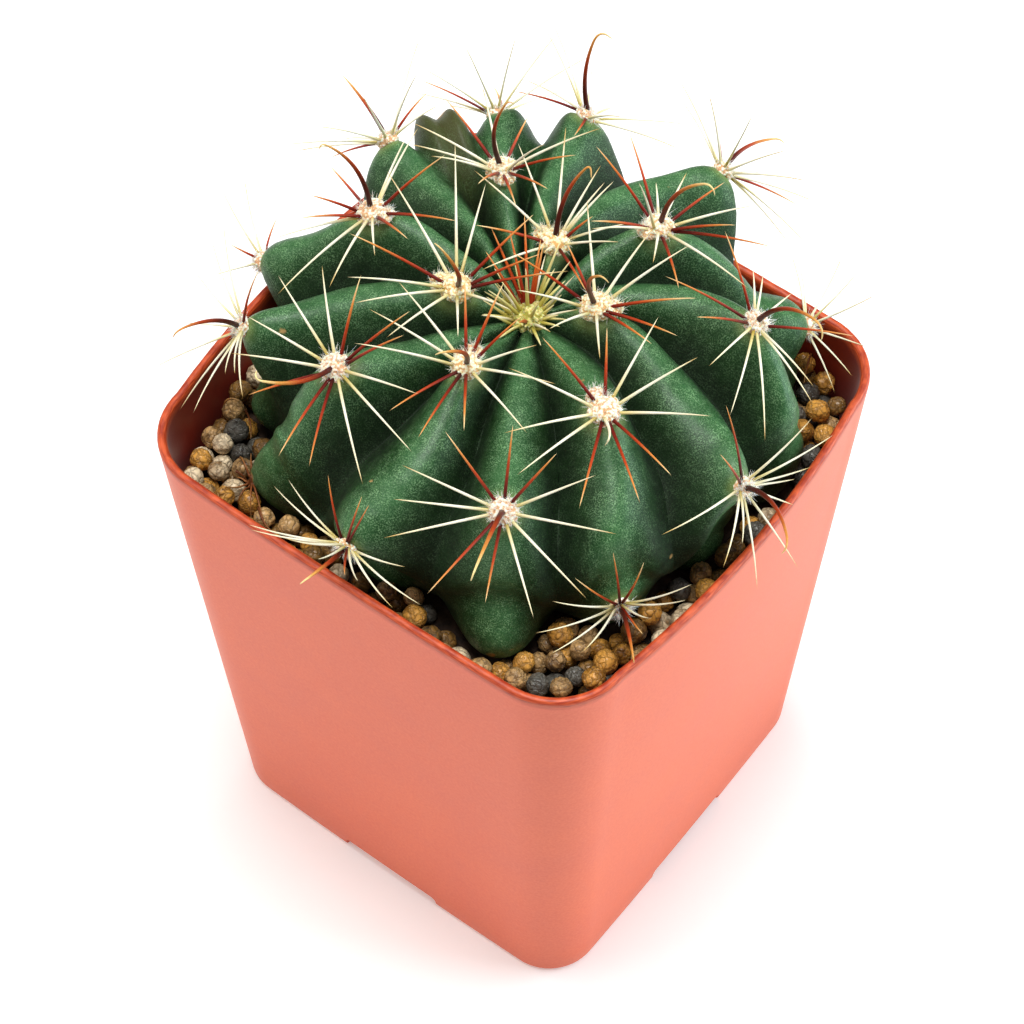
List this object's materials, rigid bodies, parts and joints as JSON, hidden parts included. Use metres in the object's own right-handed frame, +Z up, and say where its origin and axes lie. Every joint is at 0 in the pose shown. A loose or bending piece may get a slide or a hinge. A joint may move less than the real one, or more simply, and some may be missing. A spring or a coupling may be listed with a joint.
{
  "type": "potted round cactus",
  "caption": "Flattened round cactus with a ribbed green stem, woolly spine clusters and hooked centre spines, bedded on clay pellets in a square tapered plastic nursery pot with drain holes.",
  "frame": {"origin": "middle of the pot's flat underside, on the surface that it stands on", "axes": "+Z up out of the pot; +X and +Y square to the pot's sides"},
  "size_m": [0.0839, 0.0867, 0.1026],
  "materials": {
    "pot_plastic": "salmon terracotta satin plastic, moulded",
    "potting_mix": "dark crumbly potting mix",
    "clay_pellets": "rounded clay and stone pellets in tan, brown, cream and grey",
    "plant_skin": "deep green waxy plant skin with fine pale speckles",
    "spines_and_wool": "cream wool with dry cream, orange and dark red spines",
    "young_spines": "yellow-green wool with young red and orange spines"
  },
  "bodies": {
    "root": {"pot": "pot_plastic", "soil": "potting_mix", "pellet_bed": "clay_pellets", "stem": "plant_skin", "spine_cluster_01": "spines_and_wool", "spine_cluster_02": "spines_and_wool", "spine_cluster_03": "spines_and_wool", "spine_cluster_04": "spines_and_wool", "spine_cluster_05": "spines_and_wool", "spine_cluster_06": "spines_and_wool", "spine_cluster_07": "spines_and_wool", "spine_cluster_08": "spines_and_wool", "spine_cluster_09": "spines_and_wool", "spine_cluster_10": "spines_and_wool", "spine_cluster_11": "spines_and_wool", "spine_cluster_12": "spines_and_wool", "spine_cluster_13": "spines_and_wool", "spine_cluster_14": "spines_and_wool", "spine_cluster_15": "spines_and_wool", "spine_cluster_16": "spines_and_wool", "spine_cluster_17": "spines_and_wool", "spine_cluster_18": "spines_and_wool", "spine_cluster_19": "spines_and_wool", "spine_cluster_20": "spines_and_wool", "spine_cluster_21": "spines_and_wool", "crown_tuft": "young_spines"}
  },
  "joints": []
}
